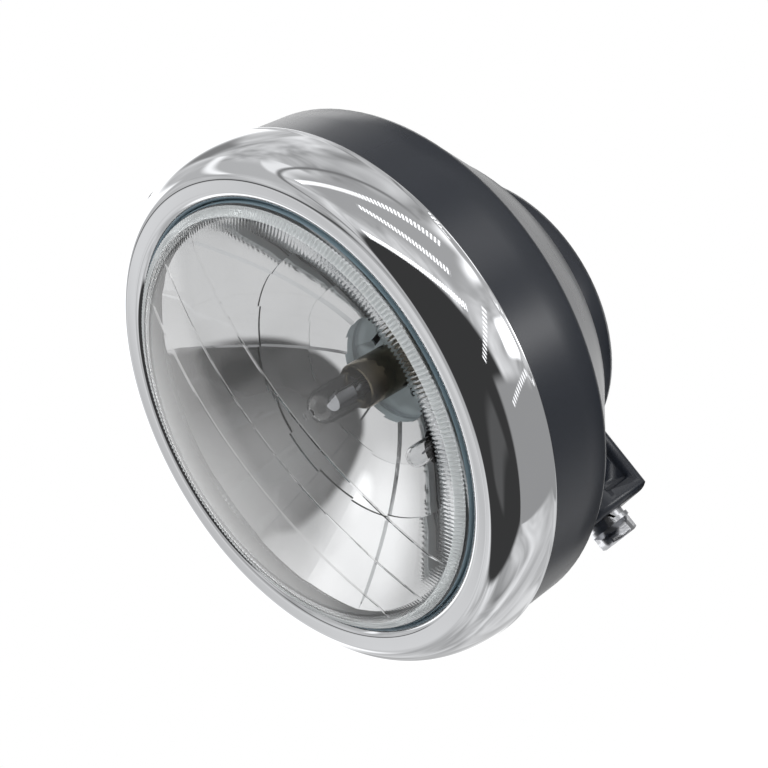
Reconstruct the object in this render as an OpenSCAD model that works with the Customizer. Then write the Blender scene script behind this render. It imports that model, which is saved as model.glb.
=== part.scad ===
// Round motorcycle headlamp with a chromed rim, a domed lens with a reeded
// edge, a faceted reflector and a housing that bolts down at a lower ear.
// The lens faces -Y and +Z is up. The origin is on the underside of the ear,
// on the axis of the mounting bolt.

/* [Rim] */
// How far the rim's rear edge stands outside its crest
bulge_w = 10.5; // [8:0.5:13]
// How far the crest stands ahead of the rear edge
rim_depth = 21; // [19:0.5:24]
// Thickness of the rim's sheet
rim_sheet = 1; // [0.8:0.1:1.2]
// Width of the flat land inside the crest
land_w = 3.8; // [3:0.1:4.6]
// Radius of the cove between the land and the lens
cove_r = 3.8; // [3.2:0.1:4.4]
// Radius of the bead rolled along the rear edge
bead_r = 0.8; // [0.6:0.1:1]

/* [Lens] */
// Diameter of the lens skirt where it passes through the rim
lens_d = 153; // [148:1:157]
// Thickness of the lens
lens_wall = 3; // [2.5:0.1:3.5]
// How far the middle of the dome stands ahead of its edge
dome_sag = 12.4; // [9:0.2:16]
// Width of the reeded shoulder round the dome
reed_w = 3.1; // [2.4:0.1:3.6]
// Number of reeds round the shoulder
reeds = 300; // [240:20:360]
// Spacing of the upright flutes inside the lens
flute_pitch = 20; // [15:1:24]
// Width of one flute
flute_w = 0.9; // [0.6:0.1:1.4]

/* [Reflector] */
// Thickness of the reflector's wall, measured along the lamp's axis
bowl_wall = 3.8; // [3.4:0.1:4.4]
// Radius of the bulb opening
bulb_hole_r = 20; // [18.5:0.5:20.5]
// Number of facet columns round the bowl
columns = 18; // [12:2:24]
// Step between neighbouring facet columns
facet_step = 1.4; // [0.6:0.1:1.6]
// Radius of the hole for the position lamp
pos_hole_r = 5.5; // [5:0.1:6.5]
// Distance of the position lamp below the bulb
pos_drop = 31; // [31:0.5:36]

/* [Bulb] */
// Radius of the bulb's glass
glass_r = 6.3; // [5.5:0.1:6.8]
// How far the glass reaches ahead of the bulb's flange
glass_reach = 40.5; // [36:0.5:42]
// Thickness of the bulb's glass
glass_wall = 0.8; // [0.6:0.1:1]
// Radius of the metal sleeve that holds the glass
sleeve_r = 8.4; // [8:0.1:9]
// Radius of the flange that locates the bulb
flange_r = 21.5; // [21.2:0.1:23]

/* [Housing] */
// How far the drum lies inside the rim's rear edge
drum_in = 1.4; // [1.3:0.1:2.4]
// Depth of the drum behind the rim's rear edge
drum_depth = 28.5; // [24:0.5:34]
// Wall of the housing
shell_wall = 2.6; // [2:0.1:3.2]
// How far the shoulder's rear edge lies inside the drum
shoulder_w = 24; // [21:0.5:27]
// Depth of the shoulder behind the drum
shoulder_depth = 28; // [24:0.5:32]
// How far the cup's closed end lies inside the shoulder's rear edge
cup_w = 10.6; // [8:0.2:13]
// Depth of the rear cup behind the shoulder
cup_depth = 22; // [19:0.5:26]

/* [Mounting] */
// Width of the ear across the lamp
ear_w = 26; // [22:1:30]
// Distance from the lamp's axis down to the underside of the ear
ear_drop = 85.2; // [84:0.2:90]
// Distance from the rim's rear edge back to the mounting bolt
bolt_setback = 61; // [59:0.5:63]
// Diameter of the mounting bolt
bolt_d = 8; // [7.5:0.5:8.5]
// Width across the flats of the bolt's head
head_flats = 13; // [12:0.5:14]
// Thickness of the bolt's head
head_h = 5.5; // [5:0.1:6.5]
// Outer diameter of the flat washer
washer_d = 16; // [15:0.5:18]
// Thickness of the flat washer
washer_h = 1.6; // [1.2:0.1:2]
// Thickness of the spring washer
spring_h = 2; // [1.6:0.1:2.4]
// Radius of the cable inlet in the rear
inlet_r = 9; // [7:0.5:11]

/* [Hidden] */
$fn = 96;
// Small overlap that lets one cut break cleanly through a face
eps = 0.05;
// Gap round a piece that slides into another
slide_gap = 0.3;

// Rim: the lip's bore, the land, the crest and the plane of the lip's back
lip_r = lens_d / 2 + 0.4;
land_r = lip_r + cove_r;
crest_r = land_r + land_w;
rim_r = crest_r + bulge_w;
land_drop = 0.6;
lip_back = -rim_depth + land_drop + cove_r + rim_sheet;

// Lens: the skirt stands through the lip and the flange seats behind it
skirt_r = lens_d / 2;
reed_out_r = skirt_r - 0.5;
reed_in_r = reed_out_r - reed_w;
reed_lean = 1.9;
reed_out_s = -rim_depth + 0.3;
reed_in_s = reed_out_s - reed_lean;
apex_s = reed_in_s - dome_sag;
dome_R = (reed_in_r * reed_in_r + dome_sag * dome_sag) / (2 * dome_sag);
lens_flange_r = skirt_r + 5;
lens_flange_h = 3;
lens_back = lip_back + lens_flange_h;
flute_h = 0.5;

// Seal and reflector flange stack up behind the lens
seal_h = 1;
refl_front = lens_back + seal_h;
refl_flange_h = 2;
refl_back = refl_front + refl_flange_h;
bowl_mouth_r = skirt_r;
// The bowl is the paraboloid r * r = bowl_k * (bowl_vertex - s)
bulb_plane = 25;
bowl_k = (bowl_mouth_r * bowl_mouth_r - bulb_hole_r * bulb_hole_r) / (bulb_plane - refl_front);
bowl_vertex = bulb_plane + bulb_hole_r * bulb_hole_r / bowl_k;
// Radii where one ring of facets ends and the next begins
rings = [bulb_hole_r - 1, 34, 50, skirt_r - 4.5];
// How far each ring of facets lies behind the paraboloid at its inner and at its outer edge
ring_tilt = [[0.3, 1.1], [0.5, 1.2], [-1.2, 0.6]];

// Bulb stack behind the opening
seat_s = bulb_plane + 3.8;
seat_h = 1.2;
seat_margin = 3.5;
screw_head_r = 2.6;
screw_at = flange_r + screw_head_r + 1.4;
seat_out_r = screw_at + seat_margin;
flange_s = seat_s + seat_h;
flange_h = 1;
base_s = flange_s + flange_h;
base_r = 11;
base_h = 11;
sleeve_front = flange_s - 20;
glass_tip = flange_s - glass_reach;
pinch_h = 6;
dip_s = flange_s - 29.5;
main_s = flange_s - 19;
shield_l = 8;
coil_r = 0.7;
coil_l = 4.4;
lead_r = 0.3;
nub_r = 1.6;
nub_len = 2.6;
spring_wire = 1.6;
collar_wall = 2;
pos_boss_r = pos_hole_r + 1.5;
collar_h = 6;
collar_in_r = pos_drop + pos_boss_r + 1.5;
collar_r = collar_in_r + collar_wall;
collar_s = bowl_vertex + bowl_wall - collar_r * collar_r / bowl_k;
boot_wall = 1.8;
boot_back = flange_s + 15;
screw_turns = [0, 120, 240];

// Position lamp
pos_s = bowl_vertex - pos_drop * pos_drop / bowl_k;
pos_glass_r = 3.9;
pos_reach = 12;
pos_boss_s = seat_s + 3;

// Housing outline, from the front edge to the closed end
drum_r = rim_r - drum_in;
shoulder_r = drum_r - shoulder_w;
cup_r = shoulder_r - cup_w;
drum_front = -3;
drum_corner = 3;
drum_taper = 0.4;
shoulder_s = drum_depth + shoulder_depth;
cup_s = shoulder_s + cup_depth;
cup_corner = 3;

// Ear and its bolt
ear_front = 44;
ear_rear = cup_s - 1.5;
ear_top = 40;
ear_corner = 5;
ear_edge = 3;
ear_frame = 6.2;
pocket_w = 14;
pocket_depth = 1.5;
insert_r = 6.2;
insert_h = 14;
bolt_r = bolt_d / 2;
bolt_reach = 19;
inlet_up = -18;
grommet_wall = 2.4;
grommet_lip = 2.2;

// Rim fixings: a screw at the top and a hook at the bottom
rim_screw_s = -7;
screw_r = 2.5;
screw_hole_r = 2.8;
screw_head_h = 1.8;
screw_top_r = rim_r - 0.7;
lip_in_r = drum_r - 5.6;
lip_back_s = drum_front + 2.4;
nut_top_r = lip_in_r - 0.2;
nut_h = 4;
lug_w = 12;
// Radius of the rim's inner face at a distance s, a little inside its facets
function rim_inside(s) =
    crest_r + (rim_r - crest_r - rim_sheet) * cos(asin(-s / (rim_depth - rim_sheet))) - 0.15;
lug_out_r = rim_inside(rim_screw_s - 4.4) - slide_gap;
hook_s = -8;
hook_t = 1.2;
hook_r = rim_inside(hook_s - hook_t / 2);
hook_in_r = lip_in_r - 0.5 - hook_t;
hook_tip_s = lip_back_s + slide_gap;
clip_end_r = rim_inside(refl_back + 0.2);
clip_in_r = sqrt(bowl_k * (bowl_vertex + bowl_wall - refl_back)) + 0.6;
clip_turns = [45, 135, 225, 315];
// Terminals of the bulb: place across, place down and turn
blades = [[-6.5, 1.5, 90], [6.5, 1.5, 90], [0, -6, 0]];

// Places children on the lamp's axis: local z runs back, local y runs down
module on_axis() {
    translate([0, -bolt_setback, ear_drop]) rotate([-90, 0, 0]) children();
}

// Revolves an outline of [radius, distance behind the rim's rear edge]
module turned(outline) {
    rotate_extrude($fn = 160) polygon(outline);
}

// Points along a quarter ellipse from the rear edge up to the crest
function bulge(a, b, n) = [for (i = [0:n]) [crest_r + a * cos(90 * i / n), -b * sin(90 * i / n)]];

// Points along the cove from the land down to the lip
function cove(r, n) =
    [for (i = [0:n]) [lip_r + r * cos(90 * i / n), -rim_depth + land_drop + r * sin(90 * i / n)]];

function flip(list) = [for (i = [len(list) - 1:-1:0]) list[i]];

module rim() {
    shell = rim_r - crest_r;
    color("gainsboro") on_axis() difference() {
        union() {
            turned(concat(bulge(shell, rim_depth, 12), cove(cove_r, 6),
                          flip(cove(cove_r + rim_sheet, 6)),
                          flip(bulge(shell - rim_sheet, rim_depth - rim_sheet, 12))));
            rotate_extrude($fn = 160) translate([rim_r - 0.5, -bead_r]) circle(bead_r, $fn = 24);
        }
        screw_sink();
    }
}

// A hole along the rim screw's axis, at the top of the lamp
module radial_hole(r, from, to) {
    translate([0, -from, rim_screw_s]) rotate([90, 0, 0]) cylinder(r = r, h = to - from, $fn = 32);
}

// Tab inside the bottom of the rim that hooks behind the drum's front lip
module rim_hook() {
    color("silver") on_axis() intersection() {
        translate([-lug_w / 2, 0, -40]) cube([lug_w, rim_r + 10, 80]);
        turned([[hook_r, hook_s - hook_t / 2], [hook_in_r, hook_s - hook_t / 2],
                [hook_in_r, hook_tip_s + hook_t], [lip_in_r + 2.4, hook_tip_s + hook_t],
                [lip_in_r + 2.4, hook_tip_s], [hook_in_r + hook_t, hook_tip_s],
                [hook_in_r + hook_t, hook_s + hook_t / 2], [hook_r, hook_s + hook_t / 2]]);
    }
}

// A cone round the rim screw's axis, wide at its outer end
module radial_cone(in_r, out_r, from, to) {
    translate([0, -from, rim_screw_s]) rotate([90, 0, 0])
        cylinder(r1 = in_r, r2 = out_r, h = to - from, $fn = 48);
}

// Clearance round the rim screw's countersunk head
module screw_sink() {
    radial_cone(screw_hole_r, screw_hole_r + screw_head_h + 2, screw_top_r - screw_head_h,
                screw_top_r + 2);
}

// Countersunk screw through the rim into the nut behind the drum's lug
module rim_screw() {
    color("silver") on_axis() difference() {
        union() {
            radial_hole(screw_r, nut_top_r - nut_h - 2, screw_top_r - screw_head_h + eps);
            radial_cone(screw_r, screw_r + screw_head_h, screw_top_r - screw_head_h, screw_top_r);
        }
        translate([0, -screw_top_r, rim_screw_s]) {
            cube([0.9, 2.4, 4.6], center = true);
            cube([4.6, 2.4, 0.9], center = true);
        }
    }
}

module rim_nut() {
    color("silver") on_axis() difference() {
        translate([-4, -nut_top_r, rim_screw_s - 4]) cube([8, nut_h, 8]);
        radial_hole(screw_r, nut_top_r - nut_h - 1, nut_top_r + 1);
    }
}

// Points along the outer and inner faces of the dome, from radius a to radius b
function dome_s(R, top, r) = top + R - sqrt(R * R - r * r);
function dome_run(R, top, a, b, n) =
    [for (i = [0:n]) let (r = a + (b - a) * i / n) [r, dome_s(R, top, r)]];

module lens_blank() {
    inner_R = dome_R - lens_wall;
    inner_edge = reed_in_r - 1.2;
    turned(concat([[0, apex_s]], dome_run(dome_R, apex_s, reed_in_r / 12, reed_in_r, 11),
                  [[reed_out_r, reed_out_s], [skirt_r, reed_out_s + 0.9], [skirt_r, lip_back],
                   [lens_flange_r, lip_back], [lens_flange_r, lens_back],
                   [skirt_r - lens_wall, lens_back], [skirt_r - lens_wall, reed_out_s + 2]],
                  flip(dome_run(inner_R, apex_s + lens_wall, inner_edge / 12, inner_edge, 11)),
                  [[0, apex_s + lens_wall]]));
}

// Upright ridges moulded on the inside of the dome
module flutes() {
    inner_R = dome_R - lens_wall;
    edge = reed_in_r - 3;
    intersection() {
        turned(concat([[0, apex_s + lens_wall - 1]],
                      dome_run(inner_R, apex_s + lens_wall - 1, edge / 8, edge, 7),
                      flip(dome_run(inner_R, apex_s + lens_wall + flute_h, edge / 8, edge, 7)),
                      [[0, apex_s + lens_wall + flute_h]]));
        for (i = [-1:1])
            translate([i * flute_pitch - flute_w / 2, -reed_in_r, apex_s - 5])
                cube([flute_w, 2 * reed_in_r, 60]);
    }
}

// Grooves that leave the reeds standing on the shoulder
module reed_grooves() {
    lean = atan2(reed_lean, reed_w);
    pitch = 2 * PI * reed_out_r / reeds;
    for (i = [0:reeds - 1])
        rotate([0, 0, (i + 0.5) * 360 / reeds])
            translate([reed_in_r + reed_w / 2, 0, (reed_in_s + reed_out_s) / 2 - pitch * 0.28])
                rotate([0, 90 - lean, 0]) rotate([0, 0, 45])
                    cylinder(r = pitch * 0.42, h = reed_w * 0.94, center = true, $fn = 4);
}

module lens() {
    color("lightcyan", 0.4) on_axis() union() {
        difference() {
            lens_blank();
            reed_grooves();
        }
        flutes();
    }
}

module lens_seal() {
    color("dimgray") on_axis() turned([[skirt_r + 1, lens_back], [skirt_r + 4, lens_back],
                                       [skirt_r + 4, refl_front], [skirt_r + 1, refl_front]]);
}

function bowl_r(back, s) = sqrt(bowl_k * (bowl_vertex + back - s));
function bowl_s(r) = bowl_vertex - r * r / bowl_k;
// Reflecting surface from the inner to the outer ring, whose rings are tilted like stairs
function bowl_run(push) =
    [for (j = [0:2]) for (i = [0:3]) let (r = rings[j] + (rings[j + 1] - rings[j]) * i / 3)
        [r, bowl_s(r) + push + ring_tilt[j][0] + (ring_tilt[j][1] - ring_tilt[j][0]) * i / 3]];

// Cuts the hollow of the bowl as far as the raised columns, with its seam inside one of them
module bowl_cut() {
    rotate([0, 0, 5.5 * 360 / columns - 90])
        turned(concat([[0, refl_front - 1], [bowl_mouth_r, refl_front - 1], [bowl_mouth_r, refl_front]],
                      flip(bowl_run(-facet_step / 2)), [[0, bowl_s(rings[0])]]));
}

// Sinks every second column of facets by one step
module column_cuts() {
    inner = rings[0] - 4;
    front = flip([for (i = [0:6]) let (r = inner + (rings[3] - inner) * i / 6) [r, bowl_s(r) - 3]]);
    for (i = [0:2:columns - 1])
        rotate([0, 0, i * 360 / columns - 90])
            rotate_extrude(angle = 360 / columns, $fn = 90)
                polygon(concat([[inner, bowl_s(rings[0]) + facet_step]],
                               bowl_run(facet_step / 2), front));
}

module reflector() {
    color("whitesmoke") on_axis() difference() {
        union() {
            turned(concat([[bulb_hole_r, refl_front], [skirt_r + 5.5, refl_front],
                           [skirt_r + 5.5, refl_back]],
                          [for (i = [0:10]) let (s = refl_back + (collar_s - refl_back) * i / 10)
                              [bowl_r(bowl_wall, s), s]],
                          [[collar_r, seat_s + collar_h], [collar_in_r, seat_s + collar_h],
                           [collar_in_r, bowl_s(collar_in_r) + bowl_wall],
                           [seat_out_r, bowl_s(seat_out_r) + bowl_wall], [seat_out_r, seat_s],
                           [bulb_hole_r, seat_s]]));
            translate([0, pos_drop, pos_s - 1]) cylinder(r = pos_boss_r, h = pos_boss_s - pos_s + 1);
        }
        bowl_cut();
        column_cuts();
        translate([0, 0, refl_front - 1]) cylinder(r = bulb_hole_r, h = 60);
        translate([0, pos_drop, refl_front]) cylinder(r = pos_hole_r, h = 60);
        for (a = screw_turns)
            rotate([0, 0, a]) translate([screw_at, 0, seat_s - 3]) cylinder(r = 1.5, h = 5, $fn = 24);
    }
}

// Bent strip springs that hold the lens and reflector against the rim
module unit_clips() {
    t = 0.8;
    color("silver") on_axis() for (a = clip_turns)
        rotate([0, 0, a]) intersection() {
            translate([skirt_r / 2, -lug_w / 2, refl_back - 5]) cube([skirt_r, lug_w, 20]);
            turned([[clip_in_r, refl_back], [skirt_r + 6.5, refl_back], [skirt_r + 8.8, refl_back + 3],
                    [clip_end_r, refl_back + 0.2], [clip_end_r, refl_back + 1.3],
                    [skirt_r + 8.8, refl_back + 3 + 1.4 * t], [skirt_r + 6.2, refl_back + t],
                    [clip_in_r, refl_back + t]]);
        }
}

module bulb_seat() {
    color("silver") on_axis() difference() {
        turned([[bulb_hole_r, seat_s], [seat_out_r - 0.5, seat_s], [seat_out_r - 0.5, flange_s],
                [bulb_hole_r, flange_s]]);
        for (a = screw_turns)
            rotate([0, 0, a]) translate([screw_at, 0, seat_s - 1]) cylinder(r = 1.5, h = 5, $fn = 24);
        translate([0, pos_drop, seat_s - 1]) cylinder(r = pos_boss_r + 1, h = 5);
    }
}

module seat_screws() {
    color("silver") on_axis() for (a = screw_turns)
        rotate([0, 0, a]) translate([screw_at, 0, 0]) difference() {
            union() {
                translate([0, 0, seat_s - 3]) cylinder(r = 1.5, h = seat_h + 3 + eps, $fn = 24);
                translate([0, 0, flange_s]) cylinder(r = screw_head_r, h = 1.6, $fn = 32);
            }
            translate([0, 0, flange_s + 1.6]) cube([0.7, 8, 1.4], center = true);
        }
}

module bulb_flange() {
    color("lightsteelblue") on_axis() difference() {
        union() {
            translate([0, 0, flange_s]) cylinder(r = flange_r, h = flange_h);
            for (a = [30, 150, 270])
                rotate([0, 0, a]) translate([flange_r - 3, -2.5, flange_s]) cube([5, 5, flange_h]);
        }
        translate([0, 0, flange_s - 1]) cylinder(r = sleeve_r, h = 4);
        for (a = [-90, 90])
            rotate([0, 0, a]) translate([sleeve_r + 3, 0, flange_s + flange_h / 2])
                cube([2.4, 6, 3], center = true);
    }
}

module bulb_sleeve() {
    color("darkgoldenrod") on_axis() turned([
        [glass_r + 0.3, sleeve_front + 1], [sleeve_r - 0.8, sleeve_front],
        [sleeve_r - 0.2, sleeve_front + 0.8], [sleeve_r, sleeve_front + 3], [sleeve_r, base_s],
        [glass_r + 0.3, base_s]]);
}

function glass_run(r, n) =
    [for (i = [0:n]) [r * sin(90 * i / n), glass_tip + glass_r - r * cos(90 * i / n)]];

module bulb_glass() {
    color("azure", 0.4) on_axis() union() {
        turned(concat(glass_run(glass_r, 8),
                      [[glass_r, base_s - 1], [glass_r - 3.4, base_s], [0, base_s],
                       [0, base_s - pinch_h], [glass_r - glass_wall - 1, base_s - pinch_h],
                       [glass_r - glass_wall, base_s - pinch_h - 2]],
                      flip(glass_run(glass_r - glass_wall, 8))));
        translate([0, 0, glass_tip - nub_len + 0.6]) sphere(nub_r, $fn = 32);
        translate([0, 0, glass_tip - nub_len + 0.6]) cylinder(r = nub_r * 0.75, h = nub_len, $fn = 24);
    }
}

// Cup beside the dipped filament that keeps its light off the lower half
module bulb_shield() {
    cup_out_r = glass_r - glass_wall - 1.9;
    stalk_end = base_s - pinch_h;
    color("silver") on_axis() union() {
        translate([0, 0, dip_s - shield_l / 4]) intersection() {
            difference() {
                cylinder(r = cup_out_r, h = shield_l);
                translate([0, 0, 0.5]) cylinder(r = cup_out_r - 0.5, h = shield_l);
            }
            translate([-cup_out_r, -0.4, 0]) cube([2 * cup_out_r, 2 * cup_out_r, shield_l]);
        }
        translate([-0.5, cup_out_r - 0.5, dip_s + shield_l / 2])
            cube([1, 0.5, stalk_end - dip_s - shield_l / 2]);
    }
}

// The two coiled filaments on their lead wires
module bulb_filaments() {
    lead_end = base_s - pinch_h;
    color("darkslategray") on_axis() for (f = [[-1.3, dip_s, coil_l], [0.2, main_s, coil_l]])
        translate([0, f[0], 0]) {
            translate([-f[2] / 2, 0, f[1]]) rotate([0, 90, 0]) cylinder(r = coil_r, h = f[2], $fn = 24);
            for (x = [-f[2] / 2 + lead_r, f[2] / 2 - lead_r])
                translate([x, 0, f[1]]) cylinder(r = lead_r, h = lead_end - f[1], $fn = 16);
        }
}

module bulb_base() {
    color("dimgray") on_axis() difference() {
        translate([0, 0, base_s]) cylinder(r = base_r, h = base_h);
        for (b = blades)
            translate([b[0], b[1], base_s + base_h - 5]) rotate([0, 0, b[2]])
                translate([-4, -0.4, 0]) cube([8, 0.8, 10]);
    }
}

module bulb_terminals() {
    color("silver") on_axis() for (b = blades)
        translate([b[0], b[1], base_s + base_h - 5]) rotate([0, 0, b[2]]) difference() {
            translate([-4, -0.4, 0]) cube([8, 0.8, 13]);
            translate([0, -2, 10]) rotate([-90, 0, 0]) cylinder(r = 0.8, h = 4, $fn = 24);
        }
}

// Wire bail that presses the bulb's flange onto its seat
module bulb_spring() {
    wire_r = spring_wire / 2;
    color("silver") on_axis() translate([0, 0, base_s + wire_r]) union() {
        rotate([0, 0, 30]) rotate_extrude(angle = 300, $fn = 96)
            translate([base_r + 3.4, 0]) circle(wire_r, $fn = 24);
        for (a = [30, 330])
            rotate([0, 0, a]) translate([base_r + 3.4, 0, 0]) rotate([0, 90, 0])
                cylinder(r = wire_r, h = seat_out_r - 5 - base_r, $fn = 24);
    }
}

// One rubber cover over the backs of both bulbs
module bulb_boot() {
    grip_s = seat_s + collar_h - 6;
    out_r = collar_r + boot_wall;
    in_back = boot_back - boot_wall;
    nose = base_s + base_h;
    color("black") on_axis() turned([
        [collar_r, grip_s], [out_r, grip_s], [out_r, grip_s + 8], [out_r - 4.5, boot_back],
        [base_r + 3.5, boot_back], [base_r, nose + 1], [base_r, nose - 3], [base_r + boot_wall, nose - 3],
        [base_r + boot_wall, nose - 0.6], [base_r + 4.2, in_back], [out_r - 5.5, in_back],
        [collar_r, grip_s + 7.4]]);
}

// Round end of the position bulb's glass, at radius r
function pos_run(r) =
    [for (i = [0:6]) [r * sin(15 * i), pos_s - pos_reach + pos_glass_r - r * cos(15 * i)]];

module position_bulb() {
    wall = 0.7;
    color("azure", 0.4) on_axis() translate([0, pos_drop, 0]) turned_small(
        concat(pos_run(pos_glass_r),
               [[pos_glass_r, pos_s + 4], [2.6, pos_s + 6], [2.6, pos_s + 9], [0, pos_s + 9],
                [0, pos_s + 5], [pos_glass_r - wall, pos_s + 3]],
               flip(pos_run(pos_glass_r - wall))));
}

module turned_small(outline) {
    rotate_extrude($fn = 64) polygon(outline);
}

module position_filament() {
    color("darkslategray") on_axis() translate([0, pos_drop, pos_s - 4]) {
        rotate([0, 90, 0]) translate([0, 0, -1.9]) cylinder(r = 0.4, h = 3.8, $fn = 16);
        for (x = [-1.7, 1.7]) translate([x, 0, 0]) cylinder(r = 0.25, h = 7.4, $fn = 16);
    }
}

module position_holder() {
    color("black") on_axis() translate([0, pos_drop, 0]) turned_small(
        [[2.6, pos_s + 6.4], [pos_hole_r, pos_s + 6.4], [pos_hole_r, pos_boss_s],
         [pos_boss_r + 0.4, pos_boss_s], [pos_boss_r + 0.4, pos_boss_s + 1.6], [5, pos_boss_s + 2.4],
         [5, pos_boss_s + 7], [0, pos_boss_s + 7], [0, pos_s + 9.2], [2.6, pos_s + 9.2]]);
}

function shell_outline() = [
    [drum_r, drum_front], [drum_r - drum_taper, drum_depth - drum_corner],
    [drum_r - drum_taper - drum_corner * 0.3, drum_depth - drum_corner * 0.3],
    [drum_r - drum_taper - drum_corner * 0.7, drum_depth + 0.5],
    [shoulder_r, shoulder_s], [cup_r + 0.6, cup_s - cup_corner],
    [cup_r - 0.3, cup_s - cup_corner * 0.3], [cup_r - cup_corner, cup_s]];

module housing() {
    inside = drum_r - shell_wall;
    color("darkslategray") on_axis() difference() {
        union() {
            turned(concat(shell_outline(), [[0, cup_s], [0, drum_front]]));
            ear();
            intersection() {
                translate([-lug_w / 2, -rim_r, rim_screw_s - 4.4]) cube([lug_w, rim_r - nut_top_r, 10]);
                turned([[60, -12], [lug_out_r, rim_screw_s - 4.4], [drum_r - 0.1, drum_front],
                        [drum_r - 0.1, 6], [60, 6]]);
            }
        }
        turned([[0, drum_front - 1], [lip_in_r, drum_front - 1], [lip_in_r, lip_back_s],
                [inside, lip_back_s], [inside - drum_taper, drum_depth - 1],
                [shoulder_r - shell_wall, shoulder_s], [cup_r - shell_wall, cup_s - shell_wall],
                [0, cup_s - shell_wall]]);
        radial_hole(screw_hole_r, nut_top_r - 1, rim_r + 1);
        screw_sink();
        translate([0, -inlet_up, cup_s - 10]) cylinder(r = inlet_r, h = 20);
        translate([0, ear_drop - insert_h, bolt_setback]) rotate([-90, 0, 0])
            cylinder(r = insert_r, h = 30);
        translate([0, ear_drop - bolt_reach - 1, bolt_setback]) rotate([-90, 0, 0])
            cylinder(r = bolt_r + 0.3, h = 30);
    }
}

// Side outline of the ear in [distance back, distance below the axis]
module ear_side() {
    c = ear_corner;
    translate([ear_front, ear_top]) square([ear_rear - c - ear_front, ear_drop - ear_top]);
    translate([ear_front, ear_top]) square([ear_rear - ear_front, ear_drop - c - ear_top]);
    translate([ear_rear - c, ear_drop - c]) circle(c, $fn = 48);
}

// Square outline with two rounded corners at its far edge
module rounded_end(w, h, c) {
    translate([-w / 2, 0]) square([w, h - c]);
    translate([c - w / 2, 0]) square([w - 2 * c, h]);
    for (side = [-1, 1]) translate([side * (w / 2 - c), h - c]) circle(c, $fn = 48);
}

// Ear with its long edges rounded, and a three-cornered recess in each flank
module ear() {
    difference() {
        intersection() {
            translate([ear_w / 2, 0, 0]) rotate([0, -90, 0]) linear_extrude(ear_w) ear_side();
            translate([0, 0, ear_front - 1]) linear_extrude(ear_rear)
                rounded_end(ear_w, ear_drop, ear_edge);
            translate([0, ear_drop + 1, 0]) rotate([90, 0, 0]) linear_extrude(ear_drop)
                rounded_end(ear_w, ear_rear, ear_edge);
        }
        for (side = [-1, 1]) pocket(side);
    }
}

module pocket(side) {
    back = ear_rear - ear_frame;
    low = ear_drop - ear_frame;
    c = 1.5;
    translate([side * (ear_w / 2 - pocket_depth / 2 + 0.5), 0, 0]) rotate([0, -90, 0])
        linear_extrude(pocket_depth + 1, center = true) hull() {
            translate([back - c, low - pocket_w + 2 * c]) circle(c, $fn = 24);
            translate([back - c, low - c]) circle(c, $fn = 24);
            translate([back - pocket_w + 2 * c, low - c]) circle(c, $fn = 24);
        }
}

module cable_grommet() {
    bore = inlet_r - grommet_wall;
    lip = inlet_r + grommet_lip;
    wall_s = cup_s - shell_wall;
    color("black") on_axis() translate([0, -inlet_up, 0]) turned_small(
        [[bore, wall_s - grommet_lip], [lip, wall_s - grommet_lip], [lip, wall_s], [inlet_r, wall_s],
         [inlet_r, cup_s], [lip, cup_s], [lip - 0.8, cup_s + grommet_lip], [bore, cup_s + grommet_lip]]);
}

module mount_insert() {
    color("goldenrod") difference() {
        cylinder(r = insert_r, h = insert_h);
        translate([0, 0, -1]) cylinder(r = bolt_r, h = insert_h + 2);
    }
}

module mount_bolt() {
    seat = -spring_h - washer_h;
    across_corners = head_flats / cos(30) / 2;
    color("gainsboro") union() {
        translate([0, 0, seat - eps]) cylinder(r = bolt_r, h = bolt_reach - seat + eps);
        intersection() {
            translate([0, 0, seat - head_h]) cylinder(r = across_corners, h = head_h, $fn = 6);
            rotate_extrude($fn = 96) polygon([[0, seat], [across_corners + 1, seat],
                [across_corners + 1, seat - head_h + 1.1], [head_flats / 2 - 0.2, seat - head_h],
                [0, seat - head_h]]);
        }
    }
}

// Split ring with one cut across it
module spring_washer() {
    color("gainsboro") difference() {
        translate([0, 0, -spring_h]) cylinder(r = bolt_r + 3.2, h = spring_h);
        translate([0, 0, -spring_h - 1]) cylinder(r = bolt_r + 0.2, h = spring_h + 2);
        rotate([0, 0, -20]) translate([bolt_r + 2, 0, -spring_h / 2]) rotate([35, 0, 0])
            cube([6, 0.9, spring_h * 3], center = true);
    }
}

module flat_washer() {
    color("gainsboro") difference() {
        translate([0, 0, -spring_h - washer_h]) cylinder(r = washer_d / 2, h = washer_h);
        translate([0, 0, -spring_h - washer_h - 1]) cylinder(r = bolt_r + 0.4, h = washer_h + 2);
    }
}

rim();
rim_hook();
rim_screw();
rim_nut();
lens();
lens_seal();
reflector();
unit_clips();
bulb_seat();
seat_screws();
bulb_flange();
bulb_sleeve();
bulb_glass();
bulb_shield();
bulb_filaments();
bulb_base();
bulb_terminals();
bulb_spring();
bulb_boot();
position_bulb();
position_filament();
position_holder();
housing();
cable_grommet();
mount_insert();
mount_bolt();
spring_washer();
flat_washer();
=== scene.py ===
"""Motorcycle headlamp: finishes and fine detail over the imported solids.

Sizes in the property groups are in metres. A profile point is written as [radius, distance
behind the rim's rear edge], in millimetres, and is turned about the lamp's axis.
"""

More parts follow.
